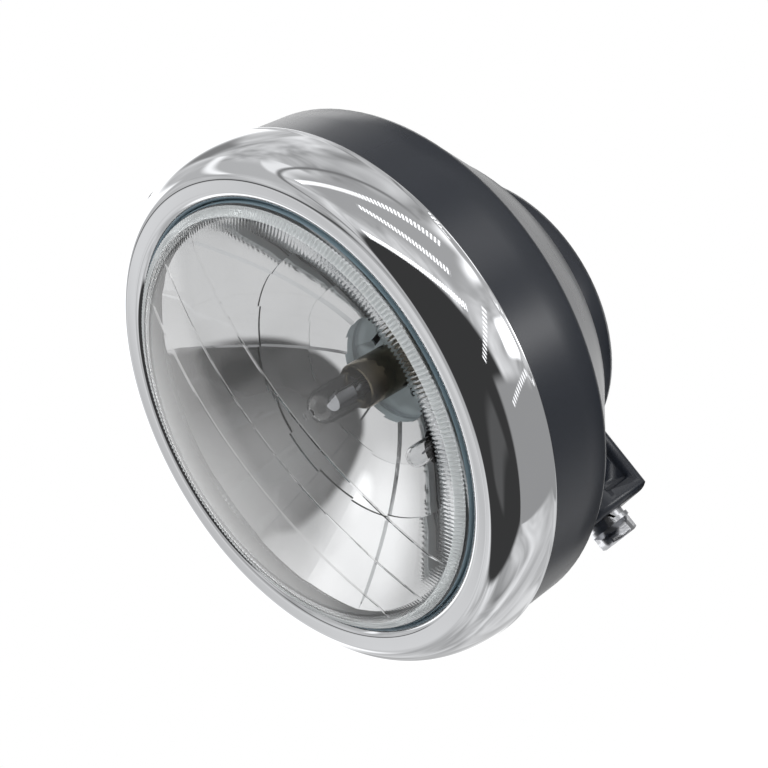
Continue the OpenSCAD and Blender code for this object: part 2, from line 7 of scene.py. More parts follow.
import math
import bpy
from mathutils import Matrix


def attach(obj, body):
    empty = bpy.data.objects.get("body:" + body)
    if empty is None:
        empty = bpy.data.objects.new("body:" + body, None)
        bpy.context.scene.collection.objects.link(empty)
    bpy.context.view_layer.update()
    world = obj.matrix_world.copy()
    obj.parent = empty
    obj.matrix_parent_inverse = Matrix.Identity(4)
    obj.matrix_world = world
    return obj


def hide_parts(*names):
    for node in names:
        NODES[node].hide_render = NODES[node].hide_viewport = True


bl_info = {
    "name": "Motorcycle headlamp",
    "version": (1, 0, 0),
    "blender": (4, 5, 0),
    "location": "3D View > Sidebar > Headlamp",
    "description": "Builds the chromed rim, lens, reflector, bulbs and finishes of a round headlamp",
    "category": "Object",
}

import bmesh
import bpy
from bpy.props import FloatProperty, FloatVectorProperty, IntProperty, PointerProperty
from bpy.types import Operator, Panel, PropertyGroup
from mathutils import Matrix, Vector

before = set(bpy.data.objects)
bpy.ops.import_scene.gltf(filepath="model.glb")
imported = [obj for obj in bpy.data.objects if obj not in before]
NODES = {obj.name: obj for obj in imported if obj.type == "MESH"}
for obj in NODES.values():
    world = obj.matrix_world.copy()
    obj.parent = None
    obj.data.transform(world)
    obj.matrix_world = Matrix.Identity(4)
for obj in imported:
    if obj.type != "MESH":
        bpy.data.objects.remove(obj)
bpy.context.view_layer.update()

# The lamp's axis runs along Y through this point, which lies in the rim's rear plane
AXIS_POINT = Vector((0, -0.061, 0.0852))
MM = 0.001

# The paraboloid of the bowl: r * r = BOWL_K * (BOWL_VERTEX - s), in millimetres
BOWL_K = 148.97
BOWL_VERTEX = 27.685

# The facets of one column, from the bulb opening outwards: each one's outer radius, and how far its
# inner and outer edge lie behind the paraboloid
FACETS = ((34.0, 0.5, 0.7), (50.0, 0.55, 0.75), (72.0, 0.0, 0.15))
FACET_STEPS = 5
# Radius of the bowl where its flange begins
BOWL_MOUTH = 75.6
# The bowl's flange, from its front edge round to its back
BOWL_FLANGE = ((76.5, -11.6), (82.0, -11.6), (82.0, -9.6), (77.4, -9.6))
BOWL_WALL = 3.8
BOWL_BACK_RADII = (72, 66, 60, 54, 48, 42, 36, 30, 25)
BULB_BOSS_REAR = 28.7

# The lens behind its dome: where the reeds begin and end, and the skirt with its seating flange
REEDS_FRONT = -22.6
REEDS_REAR = -20.7
LENS_SKIRT = ((76.5, -19.9), (76.5, -15.6), (81.5, -15.6), (81.5, -12.6), (73.5, -12.6), (73.5, -18.6))
LENS_WALL = 3.0
EDGE_BAND = ((76.52, -19.7), (76.8, -19.2), (76.8, -16.4), (76.52, -16.0))

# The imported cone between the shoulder's rear edge and the closed end: its radius there, how far
# behind the rim it starts and how fast it narrows
CONE_RADIUS = 69.6
CONE_FRONT = 56.5
CONE_SLOPE = 0.526
# The cup in its place: how far it is set in behind the step, how fast that lessens towards its rear
# corner, how much lower it stands, and where the step begins and ends
CUP_INSET = 11.0
CUP_SLOPE = 0.46
CUP_DROP = 3.0
CUP_CORNER = 75.5
STEP_FRONT = 57.6
STEP_REAR = 60.5
# What keeps its place: the middle of the closed end, and the ear with a little on each side of it
CLOSED_END_RADIUS = 48
EAR_HALF_WIDTH = 14.5

# What the polished pieces reflect: soft boxes, dark flags and rows of small lamps. Each is a band
# along a circle about a pole: the pole and the band's middle as (degrees to the right of straight
# ahead, degrees up), half its width and half its length in degrees, the softness of its edges,
# its brightness, and how many lamps there are in each degree of its length.
STUDIO = (
    ("grey above", (0, 90), (-30, 60), 20, 40, 14, 0.52, 0),
    ("bright ceiling", (0, 90), (40, 74), 10, 38, 10, 0.95, 0),
    ("dark beam", (60, 20), (60, 75), 1.2, 72, 2, 0.22, 0),
    ("smudge up on the left", (0, 90), (-125, 58), 8, 14, 10, 0.25, 0),
    ("soft box on the left", (0, 90), (-112, 21), 27, 48, 7, 1.4, 0),
    ("window behind on the left", (-152, 10), (-152, 10), 13, 180, 8, 0.85, 0),
    ("dark behind", (0, 90), (180, 4), 40, 20, 10, 0.22, 0),
    ("dark low on the left", (0, 90), (-160, -26), 9, 24, 8, 0.05, 0),
    ("dark room ahead", (30, -30), (30, -30), 60, 180, 5, 0.045, 0),
    ("floor in the dark", (0, 90), (32, -48), 10, 34, 9, 0.11, 0),
    ("dark corner low down", (0, 90), (133, -62), 27, 46, 6, 0.34, 0),
    ("dark slot on the left", (0, 90), (-42, 20), 2.2, 16, 3, 0.08, 0),
    ("wall behind on the right", (0, 90), (128, 10), 9, 10, 10, 2.6, 0),
    ("window behind on the right", (0, 90), (131, -21), 5, 12, 6, 5.5, 0),
    ("grey band among the rows", (45, -16), (93, 38), 16, 44, 14, 0.42, 0),
    ("row over the dark room", (21.1, -44.6), (68.9, 16.6), 2.0, 39, 1, 2.6, 0.55),
    ("upper row", (45, -16), (93, 48.9), 1.9, 40, 1, 2.2, 0.55),
    ("short row", (-176.6, 34.3), (91.5, 25.1), 1.9, 24, 1, 2.2, 0.55),
    ("low row", (50.6, 47.9), (101, -19.4), 1.4, 17, 1, 1.5, 0.35),
    ("lowest row", (-154.3, -64.3), (123.4, -36.3), 1.2, 20, 1, 1.4, 0.35),
    ("strip overhead", (-105.8, 1.4), (-54.7, 60.5), 2.2, 24, 4, 1.15, 0),
)

# What the bowl reflects through the lens, given in the same way
BOWL_VIEW = (
    ("light wall low on the right", (-15, 52), (-15, 52), 20, 180, 20, 1.05, 0),
    ("dark room", (12, -6), (12, -6), 36, 180, 4, 0.03, 0),
    ("grey floor of the room", (26, 6), (26, 6), 24, 180, 34, 0.24, 0),
    ("light doorway", (-8, 36), (-8, 36), 5, 180, 4, 1.2, 0),
)


class HeadlampRim(PropertyGroup):
    rear_radius: FloatProperty(name="Rear radius", description="Radius over the rim's rear edge",
                               default=0.095, unit="LENGTH")
    crest_radius: FloatProperty(name="Crest radius", description="Radius of the rim's foremost edge",
                                default=0.0845, unit="LENGTH")
    depth: FloatProperty(name="Depth", description="How far the crest stands ahead of the rear edge",
                         default=0.021, unit="LENGTH")
    cove_radius: FloatProperty(name="Cove radius", description="Radius of the cove beside the lens",
                               default=0.0038, unit="LENGTH")
    lip_radius: FloatProperty(name="Lip radius", description="Radius of the opening round the lens",
                              default=0.0769, unit="LENGTH")
    sheet: FloatProperty(name="Sheet", description="Thickness of the rim's sheet", default=0.001,
                         unit="LENGTH")


class HeadlampLens(PropertyGroup):
    apex: FloatProperty(name="Apex", description="Distance of the dome's middle ahead of the rim's rear edge",
                        default=0.035, unit="LENGTH")
    reed_inner: FloatProperty(name="Reeds, inner radius", description="Radius where the dome meets the reeds",
                              default=0.0729, unit="LENGTH")
    reed_outer: FloatProperty(name="Reeds, outer radius", description="Radius where the reeds meet the skirt",
                              default=0.076, unit="LENGTH")
    reeds: IntProperty(name="Reeds", description="Number of reeds round the shoulder", default=300)
    reed_height: FloatProperty(name="Reed height", description="Height of one reed", default=0.0005,
                               unit="LENGTH")
    flute_pitch: FloatProperty(name="Flute spacing", description="Spacing of the upright flutes",
                               default=0.02, unit="LENGTH")
    flute_width: FloatProperty(name="Flute width", description="Width of one flute", default=0.0009,
                               unit="LENGTH")
    flute_height: FloatProperty(name="Flute height", description="Height of one flute", default=0.0004,
                                unit="LENGTH")


class HeadlampReflector(PropertyGroup):
    columns: IntProperty(name="Columns", description="Columns of facets round the bowl", default=18)
    step: FloatProperty(name="Column step", description="Step between neighbouring columns",
                        default=0.0011, unit="LENGTH")
    opening: FloatProperty(name="Bulb opening", description="Radius of the bulb opening", default=0.02,
                           unit="LENGTH")
    side_opening: FloatProperty(name="Position lamp opening", default=0.0055, unit="LENGTH",
                                description="Radius of the position lamp's hole")
    side_drop: FloatProperty(name="Position lamp drop", description="Distance of that hole below the bulb",
                             default=0.031, unit="LENGTH")


class HeadlampFinish(PropertyGroup):
    chrome: FloatVectorProperty(name="Chrome", description="Colour of the chromed rim", subtype="COLOR",
                                default=(0.83, 0.84, 0.86))
    silver: FloatVectorProperty(name="Silvering", description="Colour of the reflector's coating",
                                subtype="COLOR", default=(0.94, 0.95, 0.96))
    edge: FloatVectorProperty(name="Lens edge", description="Colour of the band inside the lens edge",
                              subtype="COLOR", default=(0.17, 0.24, 0.28))
    shell: FloatVectorProperty(name="Shell", description="Colour of the moulded housing", subtype="COLOR",
                               default=(0.013, 0.016, 0.023))
    zinc: FloatVectorProperty(name="Zinc", description="Colour of the plated steel", subtype="COLOR",
                              default=(0.70, 0.71, 0.74))
    sleeve: FloatVectorProperty(name="Bulb sleeve", description="Colour of the bulb's sleeve",
                                subtype="COLOR", default=(0.19, 0.165, 0.12))
    rubber: FloatVectorProperty(name="Rubber", description="Colour of the rubber pieces", subtype="COLOR",
                                default=(0.022, 0.022, 0.024))


class HeadlampStage(PropertyGroup):
    floor_height: FloatProperty(name="Floor height", description="Height of the floor", default=-0.25,
                                unit="LENGTH")
    camera_place: FloatVectorProperty(name="Camera", description="Place of the camera",
                                      subtype="TRANSLATION", default=(0.4533, -0.3960, -0.0198))
    focal_length: FloatProperty(name="Focal length", description="Focal length in millimetres",
                                default=79.69)


def on_lamp(radius, behind):
    """The point above the lamp's axis at a radius and a distance behind the rim's rear edge, in mm."""
    return AXIS_POINT + Vector((0, behind * MM, radius * MM))


def turned(outline, steps):
    """Spins a closed profile about the lamp's axis into a closed shell."""
    bm = bmesh.new()
    corners = [bm.verts.new(on_lamp(*point)) for point in outline]
    edges = [bm.edges.new(pair) for pair in zip(corners, corners[1:] + corners[:1])]
    bmesh.ops.spin(bm, geom=corners + edges, cent=AXIS_POINT, axis=(0, 1, 0), angle=math.tau,
                   steps=steps, use_merge=True)
    bmesh.ops.remove_doubles(bm, verts=bm.verts, dist=1e-6)
    bmesh.ops.recalc_face_normals(bm, faces=bm.faces)
    return bm


def piece_from(bm, name, material, replaced=(), sharp=32):
    """Makes a finished piece of a bmesh: shaded, coloured and riding on the root body."""
    mesh = bpy.data.meshes.new(name)
    bm.to_mesh(mesh)
    bm.free()
    mesh.shade_smooth()
    mesh.set_sharp_from_angle(angle=math.radians(sharp))
    mesh.materials.append(material)
    piece = bpy.data.objects.new(name, mesh)
    bpy.context.scene.collection.objects.link(piece)
    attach(piece, "root")
    if replaced:
        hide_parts(*replaced)
    return piece


def merged_copy(node):
    """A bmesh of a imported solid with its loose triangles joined."""
    bm = bmesh.new()
    bm.from_mesh(NODES[node].data)
    bmesh.ops.remove_doubles(bm, verts=bm.verts, dist=2e-6)
    return bm


def smoothed(node, material, sharp=30):
    """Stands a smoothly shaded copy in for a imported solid."""
    return piece_from(merged_copy(node), node + "_finished", material, (node,), sharp)


def arc(centre, radius, start, end, count):
    """Points of a circular arc in the profile plane; angles in degrees from the outward radius."""
    turns = [math.radians(start + (end - start) * i / count) for i in range(count + 1)]
    return [(centre[0] + radius * math.cos(t), centre[1] + radius * math.sin(t)) for t in turns]


def ellipse(across, along, count):
    """Points of a quarter ellipse from its outer end round to its foremost point."""
    turns = [math.pi / 2 * i / count for i in range(count + 1)]
    return [(across * math.cos(t), -along * math.sin(t)) for t in turns]


def new_material(name):
    """A node material with its Principled shader and an Object-coordinate source."""
    material = bpy.data.materials.new(name)
    material.use_nodes = True
    nodes = material.node_tree.nodes
    links = material.node_tree.links
    shader = nodes["Principled BSDF"]
    place = nodes.new("ShaderNodeTexCoord")
    return material, nodes, links, shader, place.outputs["Object"]


def add_noise(nodes, links, place, scale, detail=3.0, stretch=(1, 1, 1)):
    """Noise on Object coordinates, drawn out along an axis by the stretch."""
    mapping = nodes.new("ShaderNodeMapping")
    mapping.inputs["Scale"].default_value = stretch
    noise = nodes.new("ShaderNodeTexNoise")
    noise.inputs["Scale"].default_value = scale
    noise.inputs["Detail"].default_value = detail
    links.new(place, mapping.inputs["Vector"])
    links.new(mapping.outputs["Vector"], noise.inputs["Vector"])
    return noise.outputs["Fac"]


def spread(nodes, links, factor, low, high, socket):
    """Sends a factor to a socket, mapped to the range from low to high."""
    span = nodes.new("ShaderNodeMapRange")
    span.inputs["From Min"].default_value = 0.3
    span.inputs["From Max"].default_value = 0.7
    span.inputs["To Min"].default_value = low
    span.inputs["To Max"].default_value = high
    links.new(factor, span.inputs["Value"])
    links.new(span.outputs["Result"], socket)


def add_bump(nodes, links, height, shader, distance):
    """Bump of a given depth in metres."""
    bump = nodes.new("ShaderNodeBump")
    bump.inputs["Distance"].default_value = distance
    links.new(height, bump.inputs["Height"])
    links.new(bump.outputs["Normal"], shader.inputs["Normal"])


def tint(nodes, links, factor, dark, light, socket):
    """Blends two near colours by a factor, for the unevenness of a real finish."""
    mix = nodes.new("ShaderNodeMix")
    mix.data_type = "RGBA"
    mix.inputs["A"].default_value = (*dark, 1)
    mix.inputs["B"].default_value = (*light, 1)
    links.new(factor, mix.inputs["Factor"])
    links.new(mix.outputs["Result"], socket)


def metal(name, colour, rough, vary, grain, bump=0.0, stretch=(1, 1, 1)):
    """A metal whose polish varies a little over the surface."""
    material, nodes, links, shader, place = new_material(name)
    shader.inputs["Metallic"].default_value = 1.0
    noise = add_noise(nodes, links, place, grain, 4.0, stretch)
    tint(nodes, links, noise, [c * 0.96 for c in colour], [min(1.0, c * 1.03) for c in colour],
         shader.inputs["Base Color"])
    spread(nodes, links, noise, rough, rough + vary, shader.inputs["Roughness"])
    if bump:
        add_bump(nodes, links, add_noise(nodes, links, place, grain * 2.5, 2.0, stretch), shader, bump)
    return material


def clear(name, colour, index):
    """Clear glass."""
    material, _, _, shader, _ = new_material(name)
    shader.inputs["Base Color"].default_value = (*colour, 1)
    shader.inputs["Transmission Weight"].default_value = 1.0
    shader.inputs["IOR"].default_value = index
    shader.inputs["Roughness"].default_value = 0.0
    return material


def moulded(name, colour, rough, grain, depth):
    """Moulded plastic or rubber with a fine grain."""
    material, nodes, links, shader, place = new_material(name)
    cloud = add_noise(nodes, links, place, 18.0, 3.0)
    tint(nodes, links, cloud, [c * 0.92 for c in colour], [c * 1.08 for c in colour],
         shader.inputs["Base Color"])
    spread(nodes, links, cloud, rough - 0.03, rough + 0.04, shader.inputs["Roughness"])
    add_bump(nodes, links, add_noise(nodes, links, place, grain, 2.0), shader, depth)
    return material


def dress(names, material):
    """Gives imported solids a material."""
    for name in names:
        mesh = NODES[name].data
        mesh.materials.clear()
        mesh.materials.append(material)


class HEADLAMP_OT_rim(Operator):
    """Turns the chromed rim with its crest, cove and rolled bead"""
    bl_idname = "headlamp.rim"
    bl_label = "Rim"

    def execute(self, context):
        size = context.scene.headlamp_rim
        rear, crest = size.rear_radius / MM, size.crest_radius / MM
        depth, cove, lip = size.depth / MM, size.cove_radius / MM, size.lip_radius / MM
        sheet, bead_size = size.sheet / MM, 0.75
        land = -depth + 0.6
        bulge = [(crest + x, s) for x, s in ellipse(rear - crest, depth, 40) if s < -1.2]
        crown = [(crest - 0.5, -depth + 0.02), (lip + cove + 0.35, land)]
        scoop = arc((lip + cove, land + cove), cove, 270, 180, 14)
        scoop = [(x, min(s, land + cove)) for x, s in scoop]
        lip_end = [(lip, scoop[-1][1] + sheet * 0.6), (lip + 0.4, scoop[-1][1] + sheet)]
        inner = [(lip + cove + sheet, land + sheet), (crest, -depth + sheet)]
        back = [(crest + x, s) for x, s in ellipse(rear - crest - sheet, depth - sheet, 20) if s < -1.0]
        bead = arc((rear - 0.55, -0.8), bead_size, 215, -20, 8)
        bm = turned(bulge + crown + scoop + lip_end + inner + back[::-1] + bead, 288)
        chrome = metal("chrome_plate", context.scene.headlamp_finish.chrome, 0.02, 0.02, 30.0)
        piece_from(bm, "rim_plate", chrome, ("rim",), 50)
        return {"FINISHED"}


class HEADLAMP_OT_lens(Operator):
    """Turns the domed lens with its reeded shoulder and the flutes inside"""
    bl_idname = "headlamp.lens"
    bl_label = "Lens"

    def execute(self, context):
        size = context.scene.headlamp_lens
        apex, inner, outer = -size.apex / MM, size.reed_inner / MM, size.reed_outer / MM
        sag = REEDS_FRONT - apex
        bend = (inner * inner + sag * sag) / (2 * sag)

        def dome(radius, front, count, last):
            reach = [last * i / count for i in range(count + 1)]
            return [(r, front + radius - math.sqrt(radius ** 2 - r * r)) for r in reach]

        fall = REEDS_REAR - REEDS_FRONT
        shoulder = [(inner + (outer - inner) * t, REEDS_FRONT + fall * t) for t in (0.12, 0.5, 0.88)]
        skirt = [(outer, REEDS_REAR), *LENS_SKIRT]
        inside = dome(bend - LENS_WALL, apex + LENS_WALL, 14, inner - 1.2)
        bm = turned(dome(bend, apex, 16, inner) + shoulder + skirt + inside[::-1], size.reeds * 4)
        lift = Vector((0.5, 0, -0.85)) * size.reed_height
        for vert in bm.verts:
            x, z = vert.co.x, vert.co.z - AXIS_POINT.z
            r = math.hypot(x, z) / MM
            if inner + 0.2 < r < outer - 0.2 and (vert.co.y - AXIS_POINT.y) / MM < -20.0:
                rise = 0.5 + 0.5 * math.cos(math.atan2(z, x) * size.reeds)
                vert.co += Vector((x / r / MM * lift.x, lift.z, z / r / MM * lift.x)) * rise
        self.add_flutes(bm, size, apex + LENS_WALL, bend - LENS_WALL, inner - 4)
        glass = clear("lens_glass", (1.0, 1.0, 1.0), 1.5)
        lens = piece_from(bm, "lens_glass", glass, ("lens",), 40)
        self.frost_reeds(lens, inner, outer)
        band = turned(list(EDGE_BAND), 240)
        tinted = moulded("lens_edge_band", context.scene.headlamp_finish.edge, 0.3, 300.0, 0.00001)
        piece_from(band, "lens_edge_band", tinted)
        return {"FINISHED"}

    def frost_reeds(self, lens, inner, outer):
        """Gives the reeds and the wall behind them a paler, slightly frosted glass."""
        frost = clear("lens_reeds", (0.93, 0.97, 0.98), 1.5)
        shader = frost.node_tree.nodes["Principled BSDF"]
        shader.inputs["Transmission Weight"].default_value = 0.6
        shader.inputs["Roughness"].default_value = 0.08
        lens.data.materials.append(frost)
        for face in lens.data.polygons:
            r = math.hypot(face.center.x, face.center.z - AXIS_POINT.z) / MM
            s = (face.center.y - AXIS_POINT.y) / MM
            on_reeds = inner < r < outer and s < -20
            on_bore = inner - 1 < r < LENS_SKIRT[-1][0] + 0.5 and s > -20
            if on_reeds or on_bore:
                face.material_index = 1

    def add_flutes(self, bm, size, front, radius, reach):
        """Cuts the inner face along each flute's sides and lifts the strip between them."""
        pitch, width = size.flute_pitch, size.flute_width
        inside = [f for f in bm.faces if self.is_inside(f.calc_center_median(), front, radius, reach)]
        for x in (-pitch, 0.0, pitch):
            near = [f for f in inside if f.is_valid and min(v.co.x for v in f.verts) < x + width
                    and max(v.co.x for v in f.verts) > x - width]
            geom = near + list({e for f in near for e in f.edges}) + list({v for f in near for v in f.verts})
            for share in (-0.5, -0.2, 0.2, 0.5):
                geom = bmesh.ops.bisect_plane(bm, geom=geom, dist=1e-6, plane_co=(x + share * width, 0, 0),
                                              plane_no=(1, 0, 0))["geom"]
        for vert in bm.verts:
            near = round(vert.co.x / pitch)
            if abs(near) < 2 and abs(vert.co.x - near * pitch) < 0.25 * width:
                if self.is_inside(vert.co, front, radius, reach - 0.5):
                    vert.co.y += size.flute_height

    def is_inside(self, point, front, radius, reach):
        """Whether a point lies on the lens's inner face."""
        r = math.hypot(point.x, point.z - AXIS_POINT.z) / MM
        s = (point.y - AXIS_POINT.y) / MM
        return r < reach and abs(s - (front + radius - math.sqrt(radius ** 2 - r * r))) < 0.4


class HEADLAMP_OT_reflector(Operator):
    """Builds the faceted bowl behind the lens"""
    bl_idname = "headlamp.reflector"
    bl_label = "Reflector"

    def execute(self, context):
        size = context.scene.headlamp_reflector
        step, opening = size.step / MM, size.opening / MM
        rim = [(BOWL_MOUTH, self.bowl(BOWL_MOUTH)), *BOWL_FLANGE]
        back = [(r, self.bowl(r) + BOWL_WALL) for r in BOWL_BACK_RADII] + [(opening, BULB_BOSS_REAR)]
        width = math.tau / size.columns
        bm = bmesh.new()
        starts, ends = [], []
        for column in range(size.columns):
            push = step / 2 if column % 2 == 0 else -step / 2
            outline = self.column_face(opening, push) + rim + back
            corners = [bm.verts.new(on_lamp(*point)) for point in outline]
            edges = [bm.edges.new(pair) for pair in zip(corners, corners[1:] + corners[:1])]
            turn = Matrix.Rotation(width * column, 3, "Y")
            bmesh.ops.rotate(bm, verts=corners, cent=AXIS_POINT, matrix=turn)
            made = bmesh.ops.spin(bm, geom=corners + edges, cent=AXIS_POINT, axis=(0, 1, 0), angle=width,
                                  steps=12)
            starts.append(edges)
            ends.append([part for part in made["geom_last"] if isinstance(part, bmesh.types.BMEdge)])
        for column in range(size.columns):
            bmesh.ops.bridge_loops(bm, edges=ends[column] + starts[(column + 1) % size.columns])
        bmesh.ops.remove_doubles(bm, verts=bm.verts, dist=1e-6)
        bmesh.ops.recalc_face_normals(bm, faces=bm.faces)
        silver = metal("aluminised", context.scene.headlamp_finish.silver, 0.02, 0.03, 60.0)
        bowl = piece_from(bm, "reflector_bowl", silver, ("reflector",), 12)
        self.cut_hole(bowl, size)
        return {"FINISHED"}

    def bowl(self, r):
        """How far behind the rim's rear edge the paraboloid lies at a radius."""
        return BOWL_VERTEX - r * r / BOWL_K

    def column_face(self, inner, push):
        """Profile of one column's facets, pushed in or out along the lamp's axis."""
        points = []
        for outer, low, high in FACETS:
            for i in range(FACET_STEPS + 1):
                r = inner + (outer - inner) * i / FACET_STEPS
                points.append((r, self.bowl(r) + (push + low + (high - low) * i / FACET_STEPS)))
            inner = outer
        return points

    def cut_hole(self, bowl, size):
        """Cuts the position lamp's hole below the bulb."""
        bm = bmesh.new()
        bmesh.ops.create_cone(bm, cap_ends=True, segments=48, radius1=size.side_opening,
                              radius2=size.side_opening, depth=0.06)
        bmesh.ops.rotate(bm, verts=bm.verts, matrix=Matrix.Rotation(math.pi / 2, 3, "X"))
        bmesh.ops.translate(bm, verts=bm.verts, vec=AXIS_POINT + Vector((0, 0.02, -size.side_drop)))
        mesh = bpy.data.meshes.new("hole")
        bm.to_mesh(mesh)
        bm.free()
        cutter = bpy.data.objects.new("hole", mesh)
        bpy.context.scene.collection.objects.link(cutter)
        cut = bowl.modifiers.new("hole", "BOOLEAN")
        cut.object = cutter
        cut.solver = "EXACT"
        bpy.context.view_layer.update()
        shape = bpy.data.meshes.new_from_object(bowl.evaluated_get(bpy.context.evaluated_depsgraph_get()))
        bowl.modifiers.clear()
        bowl.data = shape
        bpy.data.objects.remove(cutter)
        bpy.data.meshes.remove(mesh)


class HEADLAMP_OT_bulbs(Operator):
    """Finishes the main bulb, the position bulb and what holds them"""
    bl_idname = "headlamp.bulbs"
    bl_label = "Bulbs"

    def execute(self, context):
        look = context.scene.headlamp_finish
        brass = metal("bulb_sleeve_brass", look.sleeve, 0.09, 0.1, 120.0, 0.00001)
        pale = metal("bulb_flange_zinc", (0.62, 0.71, 0.74), 0.3, 0.12, 90.0)
        pale.node_tree.nodes["Principled BSDF"].inputs["Metallic"].default_value = 0.45
        wire = metal("tungsten_wire", (0.30, 0.30, 0.32), 0.35, 0.1, 200.0)
        glass = clear("bulb_glass", (0.99, 0.995, 1.0), 1.47)
        cap = moulded("bulb_cap", (0.03, 0.03, 0.03), 0.5, 900.0, 0.00001)
        smoothed("bulb_sleeve", brass)
        smoothed("bulb_flange", pale)
        smoothed("bulb_glass", glass, 50)
        smoothed("position_bulb", glass, 50)
        dress(["bulb_filaments", "position_filament"], wire)
        dress(["bulb_base"], cap)
        return {"FINISHED"}


class HEADLAMP_OT_housing(Operator):
    """Finishes the moulded housing and its rubber pieces"""
    bl_idname = "headlamp.housing"
    bl_label = "Housing"

    def execute(self, context):
        look = context.scene.headlamp_finish
        shell = moulded("housing_plastic", look.shell, 0.28, 1400.0, 0.00001)
        rubber = moulded("rubber", look.rubber, 0.6, 1100.0, 0.00002)
        bm = merged_copy("housing")
        self.step_cup(bm)
        piece_from(bm, "housing_finished", shell, ("housing",), 35)
        seal = moulded("seal_rubber", (0.34, 0.37, 0.39), 0.5, 700.0, 0.00001)
        dress(["bulb_boot", "cable_grommet", "position_holder"], rubber)
        dress(["lens_seal"], seal)
        return {"FINISHED"}

    def step_cup(self, bm):
        """Sets the cup in from the shoulder's rear edge and lowers it, which leaves a step between them."""
        for behind in (STEP_FRONT, STEP_REAR):
            bmesh.ops.bisect_plane(bm, geom=bm.verts[:] + bm.edges[:] + bm.faces[:], dist=1e-6,
                                   plane_co=on_lamp(0, behind), plane_no=(0, 1, 0))
        for vert in bm.verts:
            x, s, z = (vert.co - AXIS_POINT) / MM
            r = math.hypot(x, z)
            off_cone = r > CONE_RADIUS - (s - CONE_FRONT) * CONE_SLOPE + 0.6
            beside_ear = z < 0 and abs(x) < EAR_HALF_WIDTH
            if s < STEP_FRONT + 0.4 or r < CLOSED_END_RADIUS or off_cone or beside_ear:
                continue
            share = 1 - (CUP_INSET - (min(s, CUP_CORNER) - STEP_REAR) * CUP_SLOPE) / r
            vert.co = AXIS_POINT + Vector((x * share, s, z * share - CUP_DROP)) * MM


class HEADLAMP_OT_fixings(Operator):
    """Finishes the bolt, the washers, the insert and the hidden steel pieces"""
    bl_idname = "headlamp.fixings"
    bl_label = "Fixings"

    def execute(self, context):
        look = context.scene.headlamp_finish
        zinc = metal("zinc_plate", look.zinc, 0.14, 0.12, 160.0, 0.00001)
        brass = metal("insert_brass", (0.62, 0.46, 0.22), 0.3, 0.1, 140.0)
        for node in ("mount_bolt", "spring_washer", "flat_washer", "rim_screw"):
            smoothed(node, zinc)
        dress(["rim_nut", "rim_hook", "unit_clips", "bulb_seat", "seat_screws", "bulb_spring",
               "bulb_shield", "bulb_terminals"], zinc)
        dress(["mount_insert"], brass)
        return {"FINISHED"}


